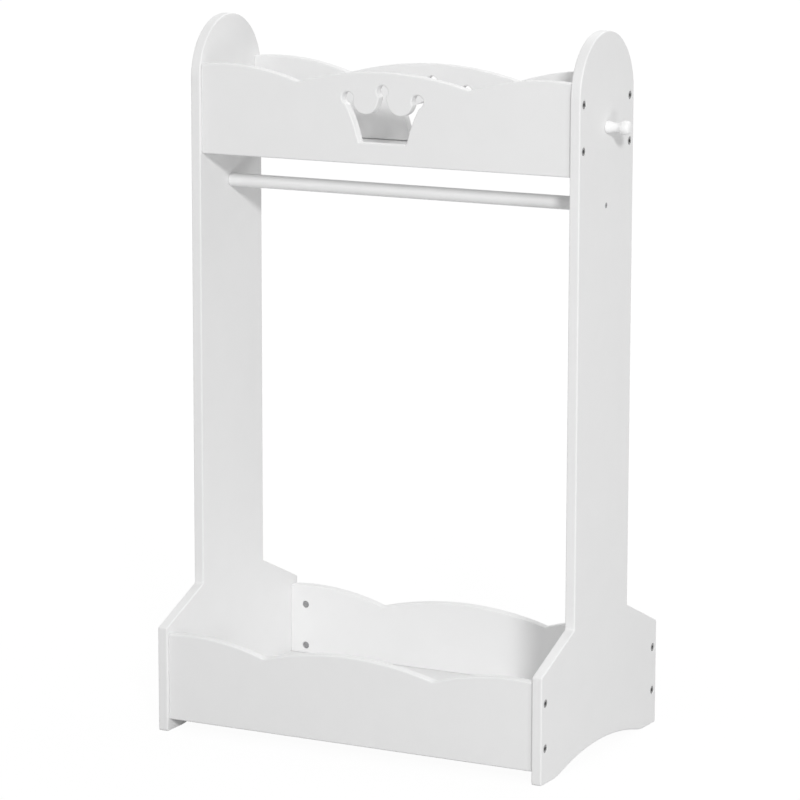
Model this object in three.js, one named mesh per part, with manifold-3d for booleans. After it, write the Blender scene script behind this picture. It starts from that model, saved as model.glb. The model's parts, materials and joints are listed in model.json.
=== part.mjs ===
// A child's dress-up rack: a hanging rail between two shaped side panels, with a small tray
// above it and a storage bin below. The trays' front and back panels have wavy tops, and the
// upper two have a crown cut out. Bolts pull every panel to the sides through barrel nuts.
// Millimetres, +Z up, front towards -Y, origin on the floor under the middle of the rack.

import * as THREE from 'three';
import { mergeVertices } from 'three/addons/utils/BufferGeometryUtils.js';
import Module from 'manifold-3d';

// Whole rack
const overallWidth = 600; // over the side panels, without the pegs
const overallHeight = 1000;
const baseDepth = 375;
const boardThickness = 15;
const edgeRound = 2; // radius along the edges of every board
const clearance = 0.3; // gap kept between pieces that meet
const chordError = 0.27; // how far a facet may stray from its true curve
const shortestFacet = 0.01;

// Side panels
const postDepth = 172;
const baseHeight = 149.5; // straight part of the base's front and back edges
const shoulderHeight = 193.5; // where the sloping shoulder meets the post
const cornerRadius = 3;
const archRise = 19.5;
const archRadius = 490;
const archFillet = 100;

// Wavy panels
const panelInset = 5; // how far their outer faces stand back from the side panels' edges
const upperPanelDrop = 190.2; // from the top of the rack down to the panel's bottom edge
const upperPanelHeight = 126.2; // up to the middle crest
const lowerPanelBottom = 17;
const lowerPanelHeight = 123.8;
const middleCrestRadius = 489;
const sideCrestRadius = 366;
const sideCrestFromEnd = 35;
const sideCrestExtra = 0.8; // how much higher the side crests are than the middle one
const valleyRadius = 8;

// Crown cut-out, with a ball on each of its three points
const crownSill = 29.2; // board left below it
const crownCover = 17; // board left above its middle ball
const crownBase = 74;
const crownCornerRadius = 2;
const crownSpread = 107.6; // between the centres of the outer balls
const sideBallDrop = 11; // how much lower the outer balls are than the middle one
const ballRadius = 8.8;
const pointHalfWidth = 7.4; // of a point, at the height where the tongues are widest
const tongueDrop = 41.2; // from the crown's top down to the lowest point of a tongue
const neckRadius = 3;
const neckAngle = THREE.MathUtils.degToRad(42.7); // round the middle ball, from straight down
const flankRadius = 176;
const flankNeckRadius = 8;
const flankNeckAngle = THREE.MathUtils.degToRad(30);

// Boards that close the tray and the bin, with their long edges in rebates in the panels
const upperShelfRise = 16.2; // of its top above the bottom edges of the panels beside it
const baseShelfTop = 38;
const rebateDepth = 5; // into a panel's inner face
const upperRebateSlack = 1; // height left above the shelf
const dowelDiameter = 8;
const dowelInSide = 10;
const dowelInShelf = 20;
const dowelInset = 30; // from the shelf's long edges

// Bolts and barrel nuts
const boltBelowCrest = 28.8;
const boltSpacing = 62.4;
const boltDiameter = 6;
const boltPastNut = 1.5;
const boltHeadDiameter = 11;
const boltHeadHeight = 6;
const boltSunk = 0.5; // how far the head lies under the panel's face
const socketWidth = 5; // across the flats
const socketDepth = 3;
const drillPast = 2; // how far a hole runs on past the end of what goes into it
const nutSetback = 25; // from the end of the panel to the nut's centre
const nutDiameter = 10;
const nutCover = 1.5; // board left past either end of the nut
const nutSlotWidth = 1.2;
const nutSlotDepth = 1;

// Rail, pegs and their screws
const railDiameter = 19;
const railDrop = 235.5; // from the top of the rack down to its axis
const pegDrop = 129;
const pegLength = 35;
const pegBaseDiameter = 17.2;
const pegWaistDiameter = 12.2;
const pegHeadDiameter = 19.2;
const pegWaistAt = 15; // from the side panel
const pegHeadAt = 27;
const screwDiameter = 4;
const screwHeadDiameter = 8;
const screwHeadHeight = 2.6;
const screwSunk = 0.4;
const screwInRail = 30;
const screwInPeg = 20;
const recessWidth = 1;
const recessLength = 4.6;
const recessDepth = 1.6;

// Places that follow from the sizes above
const innerFace = overallWidth / 2 - boardThickness; // of a side panel
const boardLength = 2 * (innerFace - clearance);
const sideCrestAt = boardLength / 2 - sideCrestFromEnd;
const crownHeight = upperPanelHeight - crownSill - crownCover;
const headUnderside = boardThickness - boltSunk - boltHeadHeight; // from the inner face
const boltEnd = nutSetback + nutDiameter / 2 + boltPastNut; // inwards from the inner face
const counterboreDiameter = boltHeadDiameter + 2 * clearance;
const nutLength = boardThickness - 2 * nutCover;
const railHeight = overallHeight - railDrop;
const pegHeight = overallHeight - pegDrop;

// Stands an outline that was drawn on the XY plane up on the YZ plane.
const upright = new THREE.Matrix4().makeBasis(
  new THREE.Vector3(0, 1, 0),
  new THREE.Vector3(0, 0, 1),
  new THREE.Vector3(1, 0, 0),
);

// The two levels of wavy panels: bottom edge, height, how far out the board's middle is, and
// height of the rebate along the lower edge.
const panels = {
  upper: {
    bottom: overallHeight - upperPanelDrop,
    height: upperPanelHeight,
    middle: postDepth / 2 - panelInset - boardThickness / 2,
    rebate: upperShelfRise + upperRebateSlack,
  },
  lower: {
    bottom: lowerPanelBottom,
    height: lowerPanelHeight,
    middle: baseDepth / 2 - panelInset - boardThickness / 2,
    rebate: baseShelfTop - lowerPanelBottom + clearance,
  },
};

// The two boards between them: depth, and the height of the board's middle.
const shelves = {
  upper_shelf: {
    depth: 2 * (panels.upper.middle + rebateDepth - clearance) - boardThickness,
    middle: panels.upper.bottom + upperShelfRise - boardThickness / 2,
  },
  base_shelf: {
    depth: 2 * (panels.lower.middle + rebateDepth - clearance) - boardThickness,
    middle: baseShelfTop - boardThickness / 2,
  },
};

const wasm = await Module();
wasm.setup();

// Turns a closed geometry into a solid that can be cut and joined.
function solidFrom(geometry) {
  const bare = geometry.clone();
  bare.deleteAttribute('normal');
  bare.deleteAttribute('uv');
  const merged = mergeVertices(bare, 1e-4);
  const corners = merged.index.array;
  const triangles = [];
  for (let i = 0; i < corners.length; i += 3) {
    const [a, b, c] = corners.slice(i, i + 3);
    if (a !== b && b !== c && c !== a) {
      triangles.push(a, b, c);
    }
  }
  const mesh = new wasm.Mesh({
    numProp: 3,
    vertProperties: new Float32Array(merged.attributes.position.array),
    triVerts: new Uint32Array(triangles),
  });
  return new wasm.Manifold(mesh);
}

function geometryFrom(solid) {
  const mesh = solid.getMesh();
  const geometry = new THREE.BufferGeometry();
  geometry.setAttribute('position', new THREE.BufferAttribute(mesh.vertProperties, 3));
  geometry.setIndex(new THREE.BufferAttribute(mesh.triVerts, 1));
  geometry.computeVertexNormals();
  return geometry;
}

// Cuts a list of geometries out of one geometry.
function cut(geometry, cutters) {
  let solid = solidFrom(geometry);
  for (const cutter of cutters) {
    solid = solid.subtract(solidFrom(cutter));
  }
  return geometryFrom(solid);
}

// How many facets a turn round a circle takes, or part of a turn: always an even number.
function facets(radius, sweep = 2 * Math.PI) {
  const widest = 2 * Math.acos(1 - Math.min(chordError / radius, 1));
  return 2 * Math.ceil(sweep / widest / 2);
}

// A round bar along X from one place to another, with a different diameter at its far end
// where one is given.
function bar(diameter, from, to, farDiameter = diameter) {
  const length = Math.abs(to - from);
  const sides = facets(diameter / 2);
  const geometry = new THREE.CylinderGeometry(farDiameter / 2, diameter / 2, length, sides);
  geometry.rotateZ(to > from ? -Math.PI / 2 : Math.PI / 2);
  return geometry.translate((from + to) / 2, 0, 0);
}

// A cutter for a round hole: a bar whose flat facets, not its edges, lie at the diameter.
function bore(diameter, from, to, farDiameter = diameter) {
  const widening = 1 / Math.cos(Math.PI / facets(diameter / 2));
  return bar(widening * diameter, from, to, widening * farDiameter);
}

function block(width, depth, height) {
  return new THREE.BoxGeometry(width, depth, height);
}

// Turns a profile of distance from the axis and place along it into a body along X.
function turned(profile) {
  const widest = Math.max(...profile.map((point) => point.x));
  return new THREE.LatheGeometry(profile, facets(widest)).rotateZ(-Math.PI / 2);
}

function profileOf(pairs) {
  return pairs.map(([radius, along]) => new THREE.Vector2(radius, along));
}

// Direction in which a belt leaves one circle for the next.
function tangentHeading(from, to) {
  const across = to.x - from.x;
  const up = to.y - from.y;
  const lift = (from.turn * from.radius - to.turn * to.radius) / Math.hypot(across, up);
  return Math.atan2(up, across) + Math.asin(THREE.MathUtils.clamp(lift, -1, 1));
}

// Points of an outline that runs over a chain of circles as a belt does over pulleys. It goes
// round a circle with turn 1 counterclockwise and round one with turn -1 clockwise, straight
// from each circle to the next, and starts and ends in the given directions.
function beltPoints(circles, startHeading, endHeading) {
  const fullTurn = 2 * Math.PI;
  const points = [];
  let heading = startHeading;
  circles.forEach(({ x, y, radius, turn }, index) => {
    const next = circles[index + 1];
    const leaving = next ? tangentHeading(circles[index], next) : endHeading;
    let sweep = THREE.MathUtils.euclideanModulo(turn * (leaving - heading), fullTurn);
    if (sweep > fullTurn - 1e-6) {
      sweep = 0;
    }
    const steps = facets(radius, sweep);
    for (let i = 0; i <= steps; i += 1) {
      const angle = heading + (turn * sweep * i) / Math.max(steps, 1);
      const side = turn * radius;
      points.push(new THREE.Vector2(x + side * Math.sin(angle), y - side * Math.cos(angle)));
    }
    heading = leaving;
  });
  return points.filter((point, i) => i === 0 || point.distanceTo(points[i - 1]) > shortestFacet);
}

// The circle that rounds a corner of an outline.
function cornerCircle(before, corner, after, radius) {
  const arrive = corner.clone().sub(before).normalize();
  const leave = after.clone().sub(corner).normalize();
  const turn = Math.sign(arrive.cross(leave));
  const inward = leave.clone().sub(arrive).normalize();
  const reach = radius / Math.sqrt((1 + arrive.dot(leave)) / 2);
  const centre = corner.clone().addScaledVector(inward, reach);
  return { x: centre.x, y: centre.y, radius, turn };
}

// Where two circles cross, on the right of the way from the first centre to the second.
function circlesCross(first, firstRadius, second, secondRadius) {
  const across = second.x - first.x;
  const up = second.y - first.y;
  const apart = Math.hypot(across, up);
  const along = (firstRadius ** 2 + apart ** 2 - secondRadius ** 2) / (2 * apart);
  const aside = Math.sqrt(Math.max(firstRadius ** 2 - along ** 2, 0));
  return {
    x: first.x + (along * across + aside * up) / apart,
    y: first.y + (along * up - aside * across) / apart,
  };
}

function mirrored(circles) {
  return circles.map((circle) => ({ ...circle, x: -circle.x })).reverse();
}

// A board of the given outline, rounded along all its edges, lying on the XY plane.
function roundedBoard(shape) {
  const geometry = new THREE.ExtrudeGeometry(shape, {
    depth: boardThickness - 2 * edgeRound,
    bevelThickness: edgeRound,
    bevelSize: edgeRound,
    bevelOffset: -edgeRound,
    bevelSegments: 2,
  });
  return geometry.translate(0, 0, edgeRound);
}

// Outline of a side panel, as seen from the side: feet, sloping shoulders, round-topped post
// and a flat arch between the feet.
function sidePanelShape() {
  const foot = new THREE.Vector2(baseDepth / 2, 0);
  const hip = new THREE.Vector2(baseDepth / 2, baseHeight);
  const neck = new THREE.Vector2(postDepth / 2, shoulderHeight);
  const top = new THREE.Vector2(postDepth / 2, overallHeight);
  const middle = new THREE.Vector2(0, 0);
  const half = [
    cornerCircle(middle, foot, hip, cornerRadius),
    cornerCircle(foot, hip, neck, cornerRadius),
    cornerCircle(hip, neck, top, cornerRadius),
  ];
  const head = { x: 0, y: overallHeight - postDepth / 2, radius: postDepth / 2, turn: 1 };
  const arch = { x: 0, y: archRise - archRadius, radius: archRadius, turn: -1 };
  const filletAway = Math.sqrt((archRadius + archFillet) ** 2 - (archFillet - arch.y) ** 2);
  const archEnd = { x: filletAway, y: archFillet, radius: archFillet, turn: 1 };
  const circles = [...mirrored([archEnd]), arch, archEnd, ...half, head, ...mirrored(half)];
  return new THREE.Shape(beltPoints(circles, 0, 0));
}

// Outline of a wavy panel, drawn past its ends, which are sawn off square afterwards.
function wavyPanelShape(height) {
  const end = boardLength / 2 + 2 * edgeRound;
  const crest = { x: 0, y: height - middleCrestRadius, radius: middleCrestRadius, turn: 1 };
  const sideCrest = {
    x: sideCrestAt,
    y: height + sideCrestExtra - sideCrestRadius,
    radius: sideCrestRadius,
    turn: 1,
  };
  const valleyPlace = circlesCross(
    sideCrest,
    sideCrestRadius + valleyRadius,
    crest,
    middleCrestRadius + valleyRadius,
  );
  const valley = { ...valleyPlace, radius: valleyRadius, turn: -1 };
  const half = [sideCrest, valley];
  const lean = Math.asin((end - sideCrestAt) / sideCrestRadius);
  const wave = beltPoints([...half, crest, ...mirrored(half)], Math.PI - lean, Math.PI + lean);
  const corners = [new THREE.Vector2(-end, 0), new THREE.Vector2(end, 0)];
  return new THREE.Shape([...corners, ...wave]);
}

// Outline of the crown, above the middle of its sill.
function crownPath() {
  const middleBall = { x: 0, y: crownHeight - ballRadius, radius: ballRadius, turn: 1 };
  const sideBall = { ...middleBall, x: crownSpread / 2, y: middleBall.y - sideBallDrop };
  const tongueRadius = crownSpread / 4 - pointHalfWidth;
  const tongue = {
    x: crownSpread / 4,
    y: crownHeight - tongueDrop + tongueRadius,
    radius: tongueRadius,
    turn: -1,
  };
  const middleNeck = {
    x: middleBall.x + (ballRadius + neckRadius) * Math.sin(neckAngle),
    y: middleBall.y - (ballRadius + neckRadius) * Math.cos(neckAngle),
    radius: neckRadius,
    turn: -1,
  };
  const innerNeckPlace = circlesCross(
    tongue,
    tongueRadius - neckRadius,
    sideBall,
    ballRadius + neckRadius,
  );
  const innerNeck = { ...innerNeckPlace, radius: neckRadius, turn: -1 };
  const outerNeck = {
    x: sideBall.x + (ballRadius + flankNeckRadius) * Math.sin(flankNeckAngle),
    y: sideBall.y - (ballRadius + flankNeckRadius) * Math.cos(flankNeckAngle),
    radius: flankNeckRadius,
    turn: -1,
  };
  const baseEnd = { x: crownBase / 2, y: 0 };
  const flankPlace = circlesCross(baseEnd, flankRadius, outerNeck, flankRadius - flankNeckRadius);
  const flank = { ...flankPlace, radius: flankRadius, turn: -1 };
  const corner = {
    x: crownBase / 2 - crownCornerRadius,
    y: crownCornerRadius,
    radius: crownCornerRadius,
    turn: 1,
  };
  const half = [corner, flank, outerNeck, sideBall, innerNeck, tongue, middleNeck];
  const points = beltPoints([...half, middleBall, ...mirrored(half)], 0, 0);
  return new THREE.Path(points.map((point) => point.add(new THREE.Vector2(0, crownSill))));
}

// Heights of the two bolts at a panel's end, above the bottom of the panel.
function boltHeights(panelHeight) {
  const high = panelHeight - boltBelowCrest;
  return { top: high, bottom: high - boltSpacing };
}

// Where the bolts go through a side panel.
function boltPlaces() {
  return Object.entries(panels).flatMap(([level, { bottom, height, middle }]) =>
    Object.entries(boltHeights(height)).flatMap(([row, z]) =>
      [-middle, middle].map((y) => ({ level, row, y, z: bottom + z })),
    ),
  );
}

// A wavy panel: X along it, outer face towards -Y, bottom edge at Z 0, with a rebate for a
// shelf along the lower edge of its inner face.
function wavyPanel({ height, rebate }, hasCrown) {
  const shape = wavyPanelShape(height);
  if (hasCrown) {
    shape.holes.push(crownPath());
  }
  const board = roundedBoard(shape);
  board.rotateX(Math.PI / 2).translate(0, boardThickness / 2, 0);
  const rebateWaste = block(2 * overallWidth, 2 * rebateDepth, 2 * rebate);
  const cutters = [rebateWaste.translate(0, boardThickness / 2, 0)];
  for (const side of [-1, 1]) {
    const waste = block(10 * edgeRound, 2 * boardThickness, 4 * height);
    cutters.push(waste.translate(side * (boardLength / 2 + 5 * edgeRound), 0, 0));
    for (const z of Object.values(boltHeights(height))) {
      const boltHoleEnd = side * (innerFace - boltEnd - drillPast);
      const boltHole = bore(boltDiameter + 2 * clearance, boltHoleEnd, side * overallWidth);
      cutters.push(boltHole.translate(0, 0, z));
      const nutHole = bore(nutDiameter + 2 * clearance, -nutLength / 2 - clearance, boardThickness);
      nutHole.rotateZ(Math.PI / 2).translate(side * (innerFace - nutSetback), 0, z);
      cutters.push(nutHole);
    }
  }
  return cut(board, cutters);
}

// Where a shelf's dowels lie across it.
function dowelPlaces(shelfDepth) {
  const away = shelfDepth / 2 - dowelInset;
  return [-away, away];
}

// A shelf board, centred, with blind holes for dowels in its ends. Its upper long edges are
// rounded off inside the rebates, so that its flat top ends just clear of the panels.
function shelfBoard(depth) {
  const rounding = {
    x: depth / 2 - rebateDepth,
    y: boardThickness / 2 - rebateDepth,
    radius: rebateDepth,
    turn: 1,
  };
  const outline = new THREE.Shape([
    new THREE.Vector2(-depth / 2, -boardThickness / 2),
    new THREE.Vector2(depth / 2, -boardThickness / 2),
    ...beltPoints([rounding, ...mirrored([rounding])], Math.PI / 2, -Math.PI / 2),
  ]);
  const board = new THREE.ExtrudeGeometry(outline, { depth: boardLength, bevelEnabled: false });
  board.translate(0, 0, -boardLength / 2).applyMatrix4(upright);
  const cutters = [];
  for (const side of [-1, 1]) {
    for (const y of dowelPlaces(depth)) {
      const holeEnd = side * (innerFace - dowelInShelf - clearance);
      const hole = bore(dowelDiameter + 2 * clearance, holeEnd, side * overallWidth);
      cutters.push(hole.translate(0, y, 0));
    }
  }
  return cut(board, cutters);
}

// Hole and countersink for a screw along X: the face of its head at X 0, the point towards -X.
function screwHole() {
  const head = screwHeadDiameter / 2 + clearance;
  const widening = 1 / Math.cos(Math.PI / facets(head));
  const throat = screwDiameter / 2 + clearance;
  return turned(
    profileOf([
      [0, -2 * boardThickness],
      [widening * throat, -2 * boardThickness],
      [widening * throat, -screwHeadHeight],
      [widening * head, 0],
      [widening * head, boardThickness],
      [0, boardThickness],
    ]),
  );
}

// A side panel: inner face at X 0, outer face towards +X, standing on Z 0.
function sidePanel() {
  const board = roundedBoard(sidePanelShape());
  board.applyMatrix4(upright);
  const cutters = [];
  for (const { y, z } of boltPlaces()) {
    const shankHole = bore(boltDiameter + 2 * clearance, -boardThickness, boardThickness);
    const headHole = bore(counterboreDiameter, headUnderside - clearance, 2 * boardThickness);
    cutters.push(shankHole.translate(0, y, z), headHole.translate(0, y, z));
  }
  for (const { depth, middle } of Object.values(shelves)) {
    for (const y of dowelPlaces(depth)) {
      const hole = bore(dowelDiameter + 2 * clearance, -boardThickness, dowelInSide + clearance);
      cutters.push(hole.translate(0, y, middle));
    }
  }
  cutters.push(screwHole().translate(boardThickness - screwSunk, 0, railHeight));
  cutters.push(screwHole().rotateZ(Math.PI).translate(screwSunk, 0, pegHeight));
  return cut(board, cutters);
}

// A socket-head bolt along X: the underside of its head at X 0, the shank towards -X.
function bolt() {
  const shank = boltDiameter / 2;
  const head = boltHeadDiameter / 2;
  const body = turned(
    profileOf([
      [0, -headUnderside - boltEnd],
      [shank, -headUnderside - boltEnd],
      [shank, 0],
      [head, 0],
      [head, boltHeadHeight],
      [0, boltHeadHeight],
    ]),
  );
  const socketRadius = socketWidth / 2 / Math.cos(Math.PI / 6);
  const socket = new THREE.CylinderGeometry(socketRadius, socketRadius, 2 * socketDepth, 6);
  return cut(body, [socket.rotateZ(Math.PI / 2).translate(boltHeadHeight, 0, 0)]);
}

// A barrel nut along Y, centred, with its cross hole along X and its slot at the +Y end.
function barrelNut() {
  const body = bar(nutDiameter, -nutLength / 2, nutLength / 2).rotateZ(Math.PI / 2);
  const crossHole = bore(boltDiameter + 2 * clearance, -nutDiameter, nutDiameter);
  const slot = block(2 * nutDiameter, 2 * nutSlotDepth, nutSlotWidth);
  return cut(body, [crossHole, slot.translate(0, nutLength / 2, 0)]);
}

// A countersunk screw along X: the face of its head at X 0, the point towards -X.
function screw(length) {
  const shank = screwDiameter / 2;
  const body = turned(
    profileOf([
      [0, -length],
      [shank, screwDiameter - length],
      [shank, -screwHeadHeight],
      [screwHeadDiameter / 2, 0],
      [0, 0],
    ]),
  );
  const wing = block(2 * recessDepth, recessLength, recessWidth);
  return cut(body, [wing, wing.clone().rotateX(Math.PI / 2)]);
}

// The round hanging rail along X, with pilot holes in its ends.
function rail() {
  const rod = bar(railDiameter, -boardLength / 2, boardLength / 2);
  const pilots = [-1, 1].map((side) => {
    const holeEnd = side * (innerFace - screwInRail - drillPast);
    return bore(screwDiameter + 2 * clearance, holeEnd, side * overallWidth);
  });
  return cut(rod, pilots);
}

// A turned peg along +X from its base at X 0: a foot, a waist and a rounded knob.
function peg() {
  const [base, waist, knob] = [pegBaseDiameter / 2, pegWaistDiameter / 2, pegHeadDiameter / 2];
  const knobEnd = pegLength - pegHeadAt;
  const rise = pegHeadAt - pegWaistAt;
  const profile = new THREE.Path();
  profile.moveTo(0, 0);
  profile.lineTo(base, 0);
  profile.bezierCurveTo(base, 0.4 * pegWaistAt, waist, 0.5 * pegWaistAt, waist, pegWaistAt);
  profile.bezierCurveTo(
    waist,
    pegWaistAt + 0.5 * rise,
    knob,
    pegHeadAt - 0.6 * rise,
    knob,
    pegHeadAt,
  );
  profile.bezierCurveTo(knob, pegHeadAt + 0.7 * knobEnd, 0.75 * knob, pegLength, 0, pegLength);
  const pilot = bore(screwDiameter + 2 * clearance, -pegLength, screwInPeg + drillPast);
  return cut(turned(profile.getPoints(5)), [pilot]);
}

const woodPaint = { color: 0xf1f1f0, roughness: 0.42, metalness: 0 };
const railPaint = { color: 0xf3f3f2, roughness: 0.35, metalness: 0 };
const zincPlate = { color: 0xb9babb, roughness: 0.35, metalness: 0.95 };
const beech = { color: 0xd8b98d, roughness: 0.7, metalness: 0 };

function addMesh(group, name, geometry, finish, x = 0, y = 0, z = 0) {
  const mesh = new THREE.Mesh(geometry, new THREE.MeshStandardMaterial(finish));
  mesh.name = name;
  mesh.position.set(x, y, z);
  group.add(mesh);
}

// A side panel with what is fixed in it, built as the right side. The left side is the same
// set turned half round.
function sideAssembly(side, parts) {
  const group = new THREE.Group();
  const towardsFront = side === 'right' ? -1 : 1;
  const faceOf = (y) => (y * towardsFront > 0 ? 'front' : 'back');
  addMesh(group, `${side}_side_panel`, parts.sidePanel, woodPaint);
  for (const { level, row, y, z } of boltPlaces()) {
    const name = `${level}_${faceOf(y)}_${side}_${row}_bolt`;
    addMesh(group, name, parts.bolt, zincPlate, headUnderside, y, z);
  }
  for (const [shelf, { depth, middle }] of Object.entries(shelves)) {
    for (const y of dowelPlaces(depth)) {
      const name = `${shelf}_${side}_${faceOf(y)}_dowel`;
      addMesh(group, name, parts.dowel, beech, 0, y, middle);
    }
  }
  const screwFace = boardThickness - screwSunk;
  addMesh(group, `${side}_rail_screw`, parts.railScrew, zincPlate, screwFace, 0, railHeight);
  addMesh(group, `${side}_peg_screw`, parts.pegScrew, zincPlate, screwSunk, 0, pegHeight);
  addMesh(group, `${side}_peg`, parts.peg, railPaint, boardThickness + clearance, 0, pegHeight);
  group.rotation.z = side === 'right' ? 0 : Math.PI;
  group.position.x = side === 'right' ? innerFace : -innerFace;
  return group;
}

// A wavy panel with the barrel nuts in it, built as the front one. The back one is the same
// panel turned half round.
function panelAssembly(level, face, parts) {
  const { bottom, height, middle } = panels[level];
  const group = new THREE.Group();
  addMesh(group, `${level}_${face}_panel`, parts[`${level}Panel`], woodPaint);
  for (const end of [-1, 1]) {
    const side = (face === 'front' ? end : -end) > 0 ? 'right' : 'left';
    for (const [row, z] of Object.entries(boltHeights(height))) {
      const name = `${level}_${face}_${side}_${row}_nut`;
      addMesh(group, name, parts.nut, zincPlate, end * (innerFace - nutSetback), 0, z);
    }
  }
  group.rotation.z = face === 'front' ? 0 : Math.PI;
  group.position.set(0, face === 'front' ? -middle : middle, bottom);
  return group;
}

const parts = {
  sidePanel: sidePanel(),
  upperPanel: wavyPanel(panels.upper, true),
  lowerPanel: wavyPanel(panels.lower, false),
  bolt: bolt(),
  nut: barrelNut(),
  dowel: bar(dowelDiameter, -dowelInShelf, dowelInSide),
  railScrew: screw(boardThickness - screwSunk + screwInRail),
  pegScrew: screw(boardThickness - screwSunk + screwInPeg),
  peg: peg(),
};
parts.pegScrew.rotateZ(Math.PI);

const rack = new THREE.Group();
for (const side of ['left', 'right']) {
  rack.add(sideAssembly(side, parts));
}
for (const level of Object.keys(panels)) {
  for (const face of ['front', 'back']) {
    rack.add(panelAssembly(level, face, parts));
  }
}
for (const [name, { depth, middle }] of Object.entries(shelves)) {
  addMesh(rack, name, shelfBoard(depth), woodPaint, 0, 0, middle);
}
addMesh(rack, 'hanging_rail', rail(), railPaint, 0, 0, railHeight);

export default rack;
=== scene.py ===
"""A child's dress-up rack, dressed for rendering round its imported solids.

Boards, turnings and fasteners are modelled again with finer arcs than the solids have and with a
slightly broken rim at each drilled hole, and each takes the place of its node. Sizes in the
classes are millimetres, meshes are metres, and the frame is that of the solids: +Z up, front
towards -Y, origin on the floor.
"""

import json
import logging
import math
from dataclasses import dataclass, field, replace
from enum import Enum

import bpy
from mathutils import Matrix, Vector


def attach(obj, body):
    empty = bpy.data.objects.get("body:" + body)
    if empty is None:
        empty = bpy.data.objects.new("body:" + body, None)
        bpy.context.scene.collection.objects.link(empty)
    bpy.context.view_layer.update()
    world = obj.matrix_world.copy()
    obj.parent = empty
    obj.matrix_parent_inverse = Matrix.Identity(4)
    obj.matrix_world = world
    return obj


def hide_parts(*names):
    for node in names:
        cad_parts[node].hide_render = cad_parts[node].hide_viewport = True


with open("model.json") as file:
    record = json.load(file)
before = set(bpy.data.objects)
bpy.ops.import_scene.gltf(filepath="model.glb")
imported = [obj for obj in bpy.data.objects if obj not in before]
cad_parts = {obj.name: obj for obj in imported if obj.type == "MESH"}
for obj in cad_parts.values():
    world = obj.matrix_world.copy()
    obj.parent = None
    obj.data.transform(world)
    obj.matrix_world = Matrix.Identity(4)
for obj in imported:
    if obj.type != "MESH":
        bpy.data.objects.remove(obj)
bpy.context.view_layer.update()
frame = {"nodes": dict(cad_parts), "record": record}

log = logging.getLogger("rack")

Piece = bpy.types.Object
Socket = bpy.types.NodeSocket
Inputs = dict[str | int, object]
Place = tuple[float, float]
Triple = tuple[float, float, float]

ORIGIN = Vector((0.0, 0.0, 0.0))
X_AXIS = Vector((1.0, 0.0, 0.0))
Y_AXIS = Vector((0.0, 1.0, 0.0))
Z_AXIS = Vector((0.0, 0.0, 1.0))
FULL_TURN = 2.0 * math.pi
SMALLEST_SWEEP = 1e-6
WHITE = (1.0, 1.0, 1.0, 1.0)

# A millimetre, and the distance at which vertices are welded, in metres
MM = 0.001
WELD = 0.00001

# The shortest line that is drawn, how far a chord may leave its arc, how far a cutter sticks out
# of what it cuts, and the width of the broken rim at a drilled hole, in millimetres
SHORTEST_LINE = 0.001
CHORD_ERROR = 0.012
OVERREACH = 2.0
RIM_BREAK = 0.25

# Facets of a small turning, and edges in its rounded corners
ROUND_STEPS = 48
CORNER_STEPS = 4

# A noise pattern lies mostly between these
NOISE_LOW = 0.3
NOISE_HIGH = 0.7


class Side(Enum):
    """An end of the rack, as its direction along X."""

    LEFT = -1
    RIGHT = 1


class Face(Enum):
    """The front or the back of the rack, as its direction along Y."""

    FRONT = -1
    BACK = 1


class Turn(Enum):
    """The way an outline bends."""

    LEFT = 1
    RIGHT = -1


# Finishes


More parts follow.
